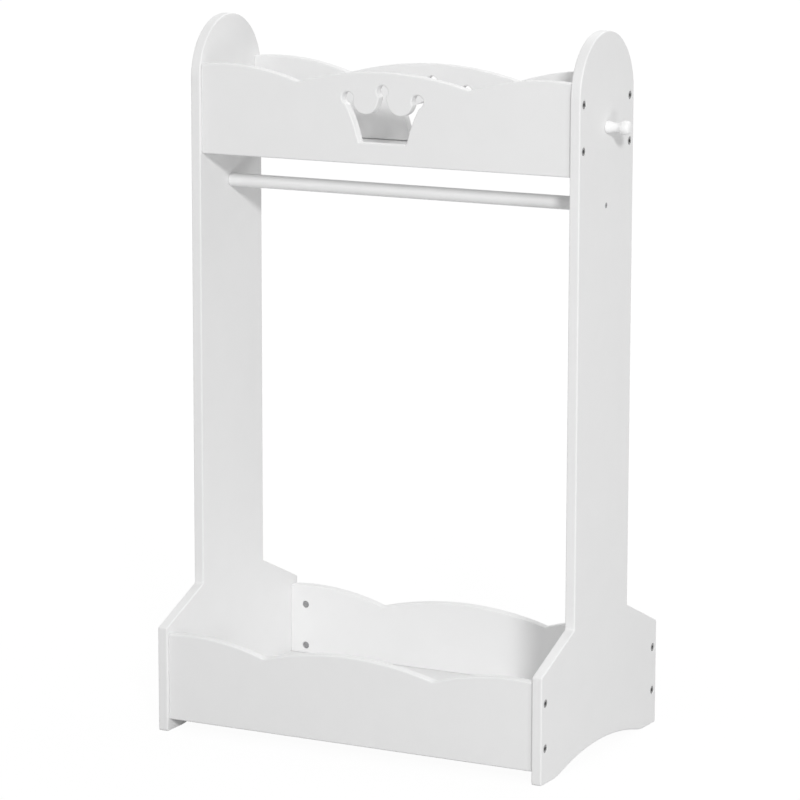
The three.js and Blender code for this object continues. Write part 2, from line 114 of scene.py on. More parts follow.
class NodeSheet:
    """The shader nodes of a material or a world, laid out one call at a time."""

    def __init__(self, owner: bpy.types.Material | bpy.types.World) -> None:
        """Empties the owner's tree.

        Args:
            owner: the material or the world.
        """
        owner.use_nodes = True
        self.tree = owner.node_tree
        self.tree.nodes.clear()
        self.output = "OutputWorld" if isinstance(owner, bpy.types.World) else "OutputMaterial"

    def add(self, kind: str, inputs: Inputs | None = None, **settings: object) -> bpy.types.Node:
        """Adds a node.

        Args:
            kind: its type, without the words that all shader nodes share.
            inputs: what goes into it, as values and as sockets of other nodes.
            settings: its other properties.

        Returns:
            The node.
        """
        node = self.tree.nodes.new(f"ShaderNode{kind}")
        for name, value in settings.items():
            setattr(node, name, value)
        for name, value in (inputs or {}).items():
            if isinstance(value, Socket):
                self.tree.links.new(value, node.inputs[name])
            else:
                node.inputs[name].default_value = value
        return node

    def place(self) -> Socket:
        """The socket that holds object coordinates."""
        return self.add("TexCoord").outputs["Object"]

    def noise(self, size: float, detail: float, stretch: Triple = (1.0, 1.0, 1.0)) -> Socket:
        """A noise pattern.

        Args:
            size: width of its largest features, in millimetres.
            detail: how many finer layers it has.
            stretch: the factor along each axis.

        Returns:
            The socket that holds its strength.
        """
        mapping = self.add("Mapping", {"Vector": self.place(), "Scale": stretch})
        inputs = {"Vector": mapping.outputs["Vector"], "Scale": 1.0 / (size * MM), "Detail": detail}
        return self.add("TexNoise", inputs).outputs["Fac"]

    def spread(self, value: Socket, low: float, high: float) -> Socket:
        """A pattern's middle range spread between two values.

        Args:
            value: the pattern.
            low: what its dark places become.
            high: what its light places become.

        Returns:
            The socket that holds the result.
        """
        middle = {"From Min": NOISE_LOW, "From Max": NOISE_HIGH}
        return self.add("MapRange", {"Value": value, **middle, "To Min": low, "To Max": high}).outputs[0]

    def colours(self, value: Socket, dark: Triple, light: Triple) -> Socket:
        """A pattern coloured from dark to light.

        Args:
            value: the pattern.
            dark: colour of its dark places.
            light: colour of its light places.

        Returns:
            The socket that holds the colour.
        """
        ramp = self.add("ValToRGB", {"Fac": value})
        ends = ((NOISE_LOW, dark), (NOISE_HIGH, light))
        for stop, (position, colour) in zip(ramp.color_ramp.elements, ends):
            stop.position = position
            stop.color = (*colour, 1.0)
        return ramp.outputs["Color"]

    def bumps(self, value: Socket, height: float) -> Socket:
        """A surface raised by a pattern.

        Args:
            value: the pattern.
            height: from its lowest to its highest places, in millimetres.

        Returns:
            The socket that holds the way the surface looks.
        """
        return self.add("Bump", {"Height": value, "Distance": height * MM}).outputs["Normal"]

    def mixed(self, share: Socket, first: bpy.types.Node, second: bpy.types.Node) -> bpy.types.Node:
        """A mix of two shaders, with this share of the second."""
        return self.add("MixShader", {"Fac": share, 1: first.outputs[0], 2: second.outputs[0]})

    def end(self, shader: bpy.types.Node) -> None:
        """Makes a shader the owner's surface."""
        self.add(self.output, {"Surface": shader.outputs[0]})


def shade(colour: Triple, factor: float) -> Triple:
    """A colour made darker or lighter by a factor."""
    return tuple(channel * factor for channel in colour)


@dataclass(frozen=True)
class Finish:
    """A material that is made once and then found by its name."""

    name: str
    colour: Triple

    def material(self) -> bpy.types.Material:
        """Finds the material, or makes it the first time.

        Returns:
            The material.
        """
        made = bpy.data.materials.get(self.name)
        if not made:
            made = bpy.data.materials.new(self.name)
            sheet = NodeSheet(made)
            sheet.end(sheet.add("BsdfPrincipled", self.inputs(sheet)))
        return made

    def inputs(self, sheet: NodeSheet) -> Inputs:
        """What goes into the material's Principled shader."""
        raise NotImplementedError


@dataclass(frozen=True)
class Paint(Finish):
    """Sprayed satin paint, with the slight orange peel it dries to, in millimetres."""

    roughness: float
    peel_size: float
    peel_height: float
    mottle: float
    variation: float = 0.04

    def inputs(self, sheet: NodeSheet) -> Inputs:
        """What goes into the paint's shader.

        Args:
            sheet: where its nodes are laid out.

        Returns:
            Its colour, roughness and bumps.
        """
        cloud = sheet.noise(size=45.0, detail=3.0)
        patches = sheet.noise(size=9.0, detail=4.0)
        low, high = self.roughness - self.variation, self.roughness + self.variation
        return {
            "Base Color": sheet.colours(cloud, shade(self.colour, 1.0 - self.mottle), self.colour),
            "Roughness": sheet.spread(patches, low, high),
            "Normal": sheet.bumps(sheet.noise(self.peel_size, detail=2.0), self.peel_height),
        }


@dataclass(frozen=True)
class Metal(Finish):
    """Plated steel with fine scratches, their height in millimetres."""

    roughness: float
    scratch_height: float
    dullest: float = 0.86
    variation: float = 0.08

    def inputs(self, sheet: NodeSheet) -> Inputs:
        """What goes into the metal's shader.

        Args:
            sheet: where its nodes are laid out.

        Returns:
            Its metal look, colour, roughness and scratches.
        """
        cloud = sheet.noise(size=2.5, detail=5.0)
        scratches = sheet.noise(size=0.5, detail=3.0, stretch=(1.0, 0.12, 1.0))
        low, high = self.roughness - self.variation, self.roughness + self.variation
        return {
            "Metallic": 1.0,
            "Base Color": sheet.colours(cloud, shade(self.colour, self.dullest), self.colour),
            "Roughness": sheet.spread(cloud, low, high),
            "Normal": sheet.bumps(scratches, self.scratch_height),
        }


@dataclass(frozen=True)
class BareWood(Finish):
    """Bare wood with its grain along X, its late wood dark."""

    dark: Triple
    roughest: float = 0.75
    smoothest: float = 0.6
    grain_height: float = 0.05

    def inputs(self, sheet: NodeSheet) -> Inputs:
        """What goes into the wood's shader.

        Args:
            sheet: where its nodes are laid out.

        Returns:
            Its colour, roughness and grain.
        """
        grain = sheet.noise(size=1.2, detail=4.0, stretch=(0.06, 1.0, 1.0))
        return {
            "Base Color": sheet.colours(grain, self.dark, self.colour),
            "Roughness": sheet.spread(grain, self.roughest, self.smoothest),
            "Normal": sheet.bumps(grain, self.grain_height),
        }


BOARD_PAINT = Paint("white_board_paint", (0.88, 0.88, 0.88), 0.42, 0.9, 0.012, 0.012)
EDGE_PAINT = Paint("white_edge_paint", (0.88, 0.88, 0.88), 0.47, 0.5, 0.02, 0.02)
TURNING_PAINT = Paint("white_turning_paint", (0.92, 0.92, 0.92), 0.34, 1.4, 0.01, 0.01)
# The bolts' steel is darker than the nuts' steel. Its colour is partly the steel's own grey and partly
# painted shade, standing in for the shade of the counterbores round the bolt heads.
BOLT_STEEL_AND_PAINTED_SHADE = Metal("plated_bolt_steel", (0.34, 0.34, 0.34), 0.42, 0.01)
NUT_STEEL = Metal("plated_nut_steel", (0.45, 0.45, 0.46), 0.4, 0.01)
BEECH = BareWood("bare_beech", (0.68, 0.49, 0.27), (0.52, 0.35, 0.18))


# Tools


def choose(piece: Piece) -> None:
    """Makes one piece the only selected one, and the active one.

    Args:
        piece: the piece.
    """
    bpy.ops.object.select_all(action="DESELECT")
    piece.select_set(True)
    bpy.context.view_layer.objects.active = piece


def modify(piece: Piece, kind: str, **settings: object) -> None:
    """Adds a modifier to a piece and applies it.

    Args:
        piece: the piece.
        kind: the modifier's type.
        settings: the modifier's properties.
    """
    choose(piece)
    bpy.ops.object.modifier_add(type=kind)
    modifier = piece.modifiers[-1]
    for name, value in settings.items():
        setattr(modifier, name, value)
    bpy.ops.object.modifier_apply(modifier=modifier.name)


def cut(piece: Piece, cutters: list[Piece]) -> None:
    """Cuts pieces that don't touch each other out of another, and removes them.

    Args:
        piece: what is cut.
        cutters: the pieces that cut it.
    """
    choose(cutters[0])
    for cutter in cutters:
        cutter.select_set(True)
    if len(cutters) > 1:
        bpy.ops.object.join()
    modify(piece, "BOOLEAN", operation="DIFFERENCE", object=cutters[0], solver="EXACT")
    bpy.data.objects.remove(cutters[0])


def dress(piece: Piece, *finishes: Finish, sharpest: float = 35.0) -> Piece:
    """Shades rounded edges smooth, while large flat faces stay flat, and puts finishes on.

    Args:
        piece: the piece.
        finishes: what it gets, the first one all over.
        sharpest: edges that turn by more than this many degrees stay sharp.

    Returns:
        The piece.
    """
    choose(piece)
    bpy.ops.object.shade_smooth_by_angle(angle=math.radians(sharpest))
    modify(piece, "WEIGHTED_NORMAL", keep_sharp=True, weight=100)
    piece.data.materials.clear()
    for finish in finishes:
        piece.data.materials.append(finish.material())
    return piece


def block(middle: Vector, size: Triple) -> Piece:
    """A cutter with square edges.

    Args:
        middle: its middle, in millimetres.
        size: its size along the axes, in millimetres.

    Returns:
        The cutter.
    """
    bpy.ops.object.select_all(action="DESELECT")
    bpy.ops.mesh.primitive_cube_add(size=MM, location=middle * MM)
    cutter = bpy.context.object
    cutter.scale = size
    bpy.ops.object.transform_apply(location=True, rotation=True, scale=True)
    return cutter


@dataclass(frozen=True)
class Arc:
    """A circle that an outline runs round, as a belt runs round a pulley."""

    x: float
    y: float
    radius: float
    turn: Turn

    def point(self, heading: float) -> Place:
        """Where an outline with this heading touches the circle."""
        side = self.turn.value * self.radius
        return self.x + side * math.sin(heading), self.y - side * math.cos(heading)

    def heading_to(self, other: "Arc") -> float:
        """The direction in which a belt leaves this circle for the next one.

        Args:
            other: the next circle.

        Returns:
            The direction as an angle.
        """
        across, up = other.x - self.x, other.y - self.y
        lift = self.turn.value * self.radius - other.turn.value * other.radius
        lean = max(-1.0, min(1.0, lift / math.hypot(across, up)))
        return math.atan2(up, across) + math.asin(lean)


def mirror_chain(arcs: list[Arc]) -> list[Arc]:
    """The other half of an outline, in the order in which a belt reaches it."""
    return [replace(arc, x=-arc.x) for arc in reversed(arcs)]


def corner_arc(before: Place, corner: Place, after: Place, radius: float) -> Arc:
    """The circle that rounds a corner of an outline.

    Args:
        before: the outline's last corner.
        corner: the corner.
        after: the outline's next corner.
        radius: the rounding's radius.

    Returns:
        The circle.
    """
    arrive = (Vector(corner) - Vector(before)).normalized()
    leave = (Vector(after) - Vector(corner)).normalized()
    turn = Turn.LEFT if arrive.cross(leave) > 0 else Turn.RIGHT
    reach = radius / math.sqrt((1.0 + arrive.dot(leave)) / 2.0)
    centre = Vector(corner) + (leave - arrive).normalized() * reach
    return Arc(centre.x, centre.y, radius, turn)


def between(first: Arc, second: Arc, radius: float) -> Arc:
    """The right-turning circle that touches two others, on the right of the way between them.

    Args:
        first: the first circle.
        second: the second circle.
        radius: the radius of the one between them.

    Returns:
        The circle.
    """
    across, up = second.x - first.x, second.y - first.y
    apart = math.hypot(across, up)
    near, far = (abs(arc.turn.value * arc.radius + radius) for arc in (first, second))
    along = (near**2 + apart**2 - far**2) / (2.0 * apart)
    aside = math.sqrt(max(near**2 - along**2, 0.0))
    x = first.x + (along * across + aside * up) / apart
    y = first.y + (along * up - aside * across) / apart
    return Arc(x, y, radius, Turn.RIGHT)


class Pen:
    """Draws an outline in edit mode by extruding and spinning one vertex over a plane."""

    def __init__(self, name: str, origin: Vector, right: Vector, up: Vector) -> None:
        """Starts a mesh of one vertex at the plane's origin.

        Args:
            name: the piece's name.
            origin: the plane's origin, in metres.
            right: the plane's first direction.
            up: the plane's second direction.
        """
        self.origin, self.right, self.up = origin, right, up
        self.normal = right.cross(up)
        self.at = Vector((0.0, 0.0))
        bpy.ops.object.select_all(action="DESELECT")
        bpy.ops.mesh.primitive_plane_add(size=1.0)
        self.piece = bpy.context.object
        self.piece.name = self.piece.data.name = name
        bpy.ops.object.mode_set(mode="EDIT")
        bpy.ops.mesh.select_all(action="SELECT")
        bpy.ops.mesh.merge(type="CENTER")
        bpy.ops.transform.translate(value=origin)

    def _lift(self, place: Vector) -> Vector:
        """A direction on the plane as one in space, in metres."""
        return (self.right * place.x + self.up * place.y) * MM

    def start(self, place: Place) -> None:
        """Moves the only vertex to a place."""
        bpy.ops.transform.translate(value=self._lift(Vector(place) - self.at))
        self.at = Vector(place)

    def line(self, *places: Place) -> None:
        """Draws straight lines from place to place.

        Args:
            places: where they end.
        """
        for place in places:
            step = Vector(place) - self.at
            if step.length > SHORTEST_LINE:
                bpy.ops.mesh.extrude_region_move(TRANSFORM_OT_translate={"value": self._lift(step)})
                self.at = Vector(place)

    def arc(self, centre: Place, sweep: float, steps: int) -> None:
        """Draws an arc.

        Args:
            centre: its centre.
            sweep: its angle in radians, positive to the left.
            steps: how many straight edges it gets.
        """
        middle = self.origin + self._lift(Vector(centre))
        bpy.ops.mesh.spin(steps=steps, angle=-sweep, center=middle, axis=self.normal)
        spoke = self.at - Vector(centre)
        spoke.rotate(Matrix.Rotation(sweep, 2))
        self.at = Vector(centre) + spoke

    def rounded(self, corner: Place, radius: float, steps: int = CORNER_STEPS) -> None:
        """Draws a line to a corner, and the corner as a rounded turn to the right.

        Args:
            corner: where the corner would be if it were sharp.
            radius: the rounding's radius.
            steps: how many straight edges it gets.
        """
        way = (Vector(corner) - self.at).normalized()
        begin = Vector(corner) - way * radius
        self.line(begin)
        self.arc(begin + Vector((way.y, -way.x)) * radius, -FULL_TURN / 4.0, steps)

    def curve(self, first: Place, second: Place, end: Place, steps: int) -> None:
        """Draws a cubic curve.

        Args:
            first: its first control point.
            second: its second control point.
            end: where it ends.
            steps: how many straight edges it gets.
        """
        start = self.at.copy()
        for i in range(1, steps + 1):
            t = i / steps
            s = 1.0 - t
            self.line(
                s**3 * start
                + 3.0 * s * s * t * Vector(first)
                + 3.0 * s * t * t * Vector(second)
                + t**3 * Vector(end)
            )

    def belt(self, arcs: list[Arc], start_heading: float, end_heading: float) -> None:
        """Draws an outline that runs over circles as a belt does over pulleys.

        Args:
            arcs: the circles.
            start_heading: the direction in which it meets the first one.
            end_heading: the direction in which it leaves the last one.
        """
        heading = start_heading
        for index, arc in enumerate(arcs):
            last = index == len(arcs) - 1
            leaving = end_heading if last else arc.heading_to(arcs[index + 1])
            sweep = (arc.turn.value * (leaving - heading)) % FULL_TURN
            self.line(arc.point(heading))
            if SMALLEST_SWEEP < sweep < FULL_TURN - SMALLEST_SWEEP:
                finest = 2.0 * math.acos(1.0 - min(CHORD_ERROR / arc.radius, 1.0))
                steps = 2 * math.ceil(sweep / finest / 2.0)
                self.arc((arc.x, arc.y), arc.turn.value * sweep, steps)
            heading = leaving

    def plate(self, thickness: float) -> Piece:
        """Closes the outline, fills it, and extrudes it backwards.

        Args:
            thickness: how far, in millimetres.

        Returns:
            The finished solid.
        """
        bpy.ops.mesh.select_all(action="SELECT")
        bpy.ops.mesh.remove_doubles(threshold=WELD)
        bpy.ops.mesh.edge_face_add()
        depth = self.normal * (-thickness * MM)
        bpy.ops.mesh.extrude_region_move(TRANSFORM_OT_translate={"value": depth})
        return self._close()

    def lathe(self, steps: int) -> Piece:
        """Turns the outline round the plane's first direction.

        Args:
            steps: how many facets the turning gets.

        Returns:
            The finished solid.
        """
        bpy.ops.mesh.select_all(action="SELECT")
        bpy.ops.mesh.spin(steps=steps, angle=FULL_TURN, center=self.origin, axis=self.right)
        return self._close()

    def _close(self) -> Piece:
        """Welds the mesh, turns its faces outwards and leaves edit mode.

        Returns:
            The finished solid.
        """
        bpy.ops.mesh.select_all(action="SELECT")
        bpy.ops.mesh.remove_doubles(threshold=WELD)
        bpy.ops.mesh.normals_make_consistent(inside=False)
        bpy.ops.object.mode_set(mode="OBJECT")
        return self.piece


def turned(name: str, mouth: Vector, inwards: Vector, profile: list[Place]) -> Piece:
    """A solid of revolution with straight sides.

    Args:
        name: the piece's name.
        mouth: where its axis starts, in millimetres.
        inwards: the axis's direction.
        profile: places along the axis and distances from it, the first and last on the axis.

    Returns:
        The solid.
    """
    across = Z_AXIS if abs(inwards.z) < 0.5 else X_AXIS
    pen = Pen(name, mouth * MM, inwards, across)
    pen.start(profile[0])
    pen.line(*profile[1:])
    return pen.lathe(ROUND_STEPS)


def drill(mouth: Vector, inwards: Vector, steps: list[Place], lip: float = RIM_BREAK) -> Piece:
    """A cutter for a stepped hole with a slightly broken rim.

    Args:
        mouth: the middle of the hole's mouth, in millimetres.
        inwards: the direction in which it is drilled.
        steps: diameter of each stretch and the depth at which it ends.
        lip: width of the rim's chamfer.

    Returns:
        The cutter.
    """
    widest = steps[0][0] / 2.0
    profile = [(-OVERREACH, 0.0), (-OVERREACH, widest + lip), (0.0, widest + lip), (lip, widest)]
    for index, (diameter, depth) in enumerate(steps):
        if index:
            profile.append((steps[index - 1][1], diameter / 2.0))
        profile.append((depth, diameter / 2.0))
    profile.append((steps[-1][1], 0.0))
    return turned("drill", mouth, inwards, profile)


# Sub-assemblies


@dataclass
class Stock:
    """What all the pieces of the rack share, in millimetres and degrees."""

    width: float = 600.0
    height: float = 1000.0
    base_depth: float = 375.0
    post_depth: float = 172.0
    board: float = 15.0
    edge_round: float = 2.0
    clearance: float = 0.3
    panel_inset: float = 5.0
    round_segments: int = 5
    round_over_degrees: float = 50.0
    least_facing: float = 0.9

    @property
    def inner_face(self) -> float:
        """Distance of a side panel's inner face from the middle."""
        return self.width / 2.0 - self.board

    @property
    def board_length(self) -> float:
        """Length of everything that spans the rack."""
        return 2.0 * (self.inner_face - self.clearance)

    def round_edges(self, piece: Piece) -> None:
        """Rounds all the right-angled edges of a board, as a router does.

        Args:
            piece: the board.
        """
        size = {"width": self.edge_round * MM, "segments": self.round_segments}
        limit = {"limit_method": "ANGLE", "angle_limit": math.radians(self.round_over_degrees)}
        modify(piece, "BEVEL", **size, **limit, use_clamp_overlap=False)

    def paint(self, piece: Piece, out: Vector) -> Piece:
        """Paints a board's faces, and its edges in their own slightly rougher paint.

        Args:
            piece: the board.
            out: the direction in which its faces look.

        Returns:
            The board.
        """
        dress(piece, BOARD_PAINT, EDGE_PAINT)
        for polygon in piece.data.polygons:
            polygon.material_index = 0 if abs(polygon.normal.dot(out)) > self.least_facing else 1
        return piece


@dataclass
class Fastening:
    """The bolts and barrel nuts that hold a wavy panel, in millimetres."""

    below_crest: float = 28.8
    spacing: float = 62.4
    bolt: float = 6.0
    head: float = 11.0
    head_height: float = 6.0
    sunk: float = 0.5
    counterbore: float = 11.6
    counterbore_lip: float = 0.3
    socket: float = 5.0
    socket_depth: float = 3.0
    drill_past: float = 2.0
    nut_setback: float = 25.0
    nut: float = 10.0
    nut_cover: float = 1.5
    slot_width: float = 1.2
    slot_depth: float = 1.0
    past_nut: float = 1.5

    @property
    def reach(self) -> float:
        """How far a bolt runs inwards from a side panel's inner face."""
        return self.nut_setback + self.nut / 2.0 + self.past_nut

    def heights(self, panel_height: float) -> dict[str, float]:
        """Heights of a panel end's two bolts above the panel's bottom edge."""
        high = panel_height - self.below_crest
        return {"top": high, "bottom": high - self.spacing}


@dataclass
class WavyPanel:
    """A panel with a wavy top, and a crown cut out of it where it has one, in millimetres."""

    stock: Stock
    fastening: Fastening
    level: str
    bottom: float
    height: float
    middle: float
    rebate: float
    has_crown: bool
    rebate_depth: float = 5.0
    crest_radius: float = 489.0
    side_crest_radius: float = 366.0
    side_crest_from_end: float = 35.0
    side_crest_extra: float = 0.8
    valley_radius: float = 8.0
    sill: float = 29.2
    cover: float = 17.0
    crown_base: float = 74.0
    crown_corner: float = 2.0
    crown_spread: float = 107.6
    ball_drop: float = 11.0
    ball: float = 8.8
    point_half_width: float = 7.4
    tongue_drop: float = 41.2
    neck: float = 3.0
    neck_angle: float = 42.7
    flank: float = 176.0
    flank_neck: float = 8.0
    flank_neck_angle: float = 30.0

    def _plane(self, face: Face, proud: float = 0.0) -> tuple[Vector, Vector, Vector]:
        """Origin and directions of the plane of the panel's outer face.

        Args:
            face: front or back.
            proud: how far in front of the face, in millimetres.

        Returns:
            The origin in metres, and the directions along and up the panel.
        """
        away = self.middle + self.stock.board / 2.0 + proud
        origin = Vector((0.0, face.value * away, self.bottom)) * MM
        return origin, X_AXIS * -face.value, Z_AXIS

    def _draw_waves(self, pen: Pen) -> None:
        """Draws the panel's outline, past its ends.

        Args:
            pen: what draws it.
        """
        end = self.stock.board_length / 2.0 + 2.0 * self.stock.edge_round
        at = self.stock.board_length / 2.0 - self.side_crest_from_end
        crest = Arc(0.0, self.height - self.crest_radius, self.crest_radius, Turn.LEFT)
        side_middle = self.height + self.side_crest_extra - self.side_crest_radius
        side = Arc(at, side_middle, self.side_crest_radius, Turn.LEFT)
        half = [side, between(side, crest, self.valley_radius)]
        lean = math.asin((end - at) / self.side_crest_radius)
        pen.start((-end, 0.0))
        pen.line((end, 0.0))
        pen.belt([*half, crest, *mirror_chain(half)], math.pi - lean, math.pi + lean)
        pen.line((-end, 0.0))

    def _draw_crown(self, pen: Pen) -> None:
        """Draws the crown's outline: base, flanks, three balls and two tongues.

        Args:
            pen: what draws it.
        """
        top = self.height - self.cover
        middle_ball = Arc(0.0, top - self.ball, self.ball, Turn.LEFT)
        side_ball = Arc(self.crown_spread / 2.0, middle_ball.y - self.ball_drop, self.ball, Turn.LEFT)
        tongue_radius = self.crown_spread / 4.0 - self.point_half_width
        tongue_height = top - self.tongue_drop + tongue_radius
        tongue = Arc(self.crown_spread / 4.0, tongue_height, tongue_radius, Turn.RIGHT)
        middle_neck = self._neck_beside(middle_ball, self.neck, self.neck_angle)
        inner_neck = between(tongue, side_ball, self.neck)
        outer_neck = self._neck_beside(side_ball, self.flank_neck, self.flank_neck_angle)
        sharp_corner = Arc(self.crown_base / 2.0, self.sill, 0.0, Turn.LEFT)
        flank = between(sharp_corner, outer_neck, self.flank)
        round_off = self.crown_corner
        corner = Arc(self.crown_base / 2.0 - round_off, self.sill + round_off, round_off, Turn.LEFT)
        half = [corner, flank, outer_neck, side_ball, inner_neck, tongue, middle_neck]
        pen.start((-corner.x, self.sill))
        pen.belt([*half, middle_ball, *mirror_chain(half)], 0.0, 0.0)

    def _neck_beside(self, ball: Arc, radius: float, angle: float) -> Arc:
        """The circle that leads into a ball.

        Args:
            ball: the ball.
            radius: the circle's radius.
            angle: how many degrees it lies from straight below the ball.

        Returns:
            The circle.
        """
        lean = math.radians(angle)
        away = ball.radius + radius
        x, y = ball.x + away * math.sin(lean), ball.y - away * math.cos(lean)
        return Arc(x, y, radius, Turn.RIGHT)

    def _saw_ends(self, piece: Piece) -> None:
        """Saws the rounded ends off square.

        Args:
            piece: the panel.
        """
        choose(piece)
        for side in Side:
            bpy.ops.object.mode_set(mode="EDIT")
            bpy.ops.mesh.select_all(action="SELECT")
            end, out = X_AXIS * (side.value * self.stock.board_length / 2.0 * MM), X_AXIS * side.value
            bpy.ops.mesh.bisect(plane_co=end, plane_no=out, use_fill=True, clear_outer=True)
            bpy.ops.object.mode_set(mode="OBJECT")

    def _cut_rebate(self, piece: Piece, face: Face) -> None:
        """Cuts the rebate for a shelf along the lower edge of the inner face.

        Args:
            piece: the panel.
            face: front or back.
        """
        inner = face.value * (self.middle - self.stock.board / 2.0)
        size = (2.0 * self.stock.width, 2.0 * self.rebate_depth, 2.0 * self.rebate)
        cut(piece, [block(Vector((0.0, inner, self.bottom)), size)])

    def _drill_holes(self, piece: Piece, face: Face) -> None:
        """Drills the holes for the bolts and the barrel nuts.

        Args:
            piece: the panel.
            face: front or back.
        """
        fast, slack = self.fastening, 2.0 * self.stock.clearance
        nut_depth = self.stock.board - fast.nut_cover + self.stock.clearance
        bolt_depth = fast.reach + fast.drill_past - self.stock.clearance
        inner = face.value * (self.middle - self.stock.board / 2.0)
        nut_holes, bolt_holes = [], []
        for side in Side:
            for height in fast.heights(self.height).values():
                z = self.bottom + height
                mouth = Vector((side.value * (self.stock.inner_face - fast.nut_setback), inner, z))
                nut_holes.append(drill(mouth, Y_AXIS * face.value, [(fast.nut + slack, nut_depth)]))
                end = Vector((side.value * self.stock.board_length / 2.0, face.value * self.middle, z))
                bolt_holes.append(drill(end, X_AXIS * -side.value, [(fast.bolt + slack, bolt_depth)]))
        cut(piece, nut_holes)
        cut(piece, bolt_holes)

    def build(self, face: Face) -> Piece:
        """Builds the panel for the front or the back.

        Args:
            face: front or back.

        Returns:
            The finished panel.
        """
        pen = Pen(f"{self.level}_{face.name.lower()}_board", *self._plane(face))
        self._draw_waves(pen)
        board = pen.plate(self.stock.board)
        if self.has_crown:
            proud = self.stock.board
            saw = Pen("crown_saw", *self._plane(face, proud))
            self._draw_crown(saw)
            cut(board, [saw.plate(self.stock.board + 2.0 * proud)])
        self.stock.round_edges(board)
        self._saw_ends(board)
        self._cut_rebate(board, face)
        self._drill_holes(board, face)
        return self.stock.paint(board, Y_AXIS)


@dataclass
class SidePanel:
    """A side panel with feet, shoulders and a round-topped post, in millimetres."""

    stock: Stock
    fastening: Fastening
    panels: list[WavyPanel]
    shelves: list["Shelf"]
    base_height: float = 149.5
    shoulder_height: float = 193.5
    corner: float = 3.0
    arch_rise: float = 19.5
    arch_radius: float = 490.0
    arch_fillet: float = 100.0
    rail_height: float = 764.5
    peg_height: float = 871.0
    screw: float = 4.0
    screw_head: float = 8.0
    screw_head_height: float = 2.6
    screw_sunk: float = 0.4

    def _draw(self, pen: Pen) -> None:
        """Draws the outline, from the arch round the feet, shoulders and top.

        Args:
            pen: what draws it.
        """
        hip_y, post_y = self.stock.base_depth / 2.0, self.stock.post_depth / 2.0
        path = [(0.0, 0.0), (hip_y, 0.0), (hip_y, self.base_height)]
        path += [(post_y, self.shoulder_height), (post_y, self.stock.height)]
        half = [corner_arc(*path[i : i + 3], self.corner) for i in range(3)]
        head = Arc(0.0, self.stock.height - post_y, post_y, Turn.LEFT)
        arch = Arc(0.0, self.arch_rise - self.arch_radius, self.arch_radius, Turn.RIGHT)
        away = math.sqrt((self.arch_radius + self.arch_fillet) ** 2 - (self.arch_fillet - arch.y) ** 2)
        end = Arc(away, self.arch_fillet, self.arch_fillet, Turn.LEFT)
        pen.start((-away, 0.0))
        pen.belt([*mirror_chain([end]), arch, end, *half, head, *mirror_chain(half)], 0.0, 0.0)
        pen.line((-away, 0.0))

    def _drill_holes(self, piece: Piece, side: Side) -> None:
        """Drills the counterbores, countersinks and dowel holes.

        Args:
            piece: the panel.
            side: left or right.
        """
        outer = side.value * self.stock.width / 2.0
        inner = side.value * self.stock.inner_face
        inwards = X_AXIS * -side.value
        fast, gap = self.fastening, self.stock.clearance
        seat = fast.sunk + fast.head_height + gap
        through = self.stock.board + OVERREACH
        bolt_hole = [(fast.counterbore, seat), (fast.bolt + 2.0 * gap, through)]
        drills = []
        for panel in self.panels:
            for face in Face:
                for height in fast.heights(panel.height).values():
                    place = Vector((outer, face.value * panel.middle, panel.bottom + height))
                    drills.append(drill(place, inwards, bolt_hole, fast.counterbore_lip))
        for shelf in self.shelves:
            for y in shelf.dowel_places():
                hole = [(shelf.dowel + 2.0 * gap, shelf.dowel_in_side + gap)]
                drills.append(drill(Vector((inner, y, shelf.middle)), -inwards, hole))
        drills.append(self._countersink(Vector((outer, 0.0, self.rail_height)), inwards))
        drills.append(self._countersink(Vector((inner, 0.0, self.peg_height)), -inwards))
        cut(piece, drills)

    def _countersink(self, mouth: Vector, inwards: Vector) -> Piece:
        """A cutter for a countersunk screw's hole.

        Args:
            mouth: the middle of the hole's mouth, in millimetres.
            inwards: the direction in which it is drilled.

        Returns:
            The cutter.
        """
        gap = self.stock.clearance
        head, shank = self.screw_head / 2.0 + gap, self.screw / 2.0 + gap
        throat = self.screw_sunk + self.screw_head_height
        through = self.stock.board + OVERREACH
        sink = [(-OVERREACH, 0.0), (-OVERREACH, head), (self.screw_sunk, head), (throat, shank)]
        return turned("countersink", mouth, inwards, [*sink, (through, shank), (through, 0.0)])

    def build(self, side: Side) -> Piece:
        """Builds the left or right panel.

        Args:
            side: left or right.

        Returns:
            The finished panel.
        """
        origin = X_AXIS * (side.value * self.stock.width / 2.0 * MM)
        pen = Pen(f"{side.name.lower()}_side_board", origin, Y_AXIS * side.value, Z_AXIS)
        self._draw(pen)
        board = pen.plate(self.stock.board)
        self.stock.round_edges(board)
        self._drill_holes(board, side)
        return self.stock.paint(board, X_AXIS)


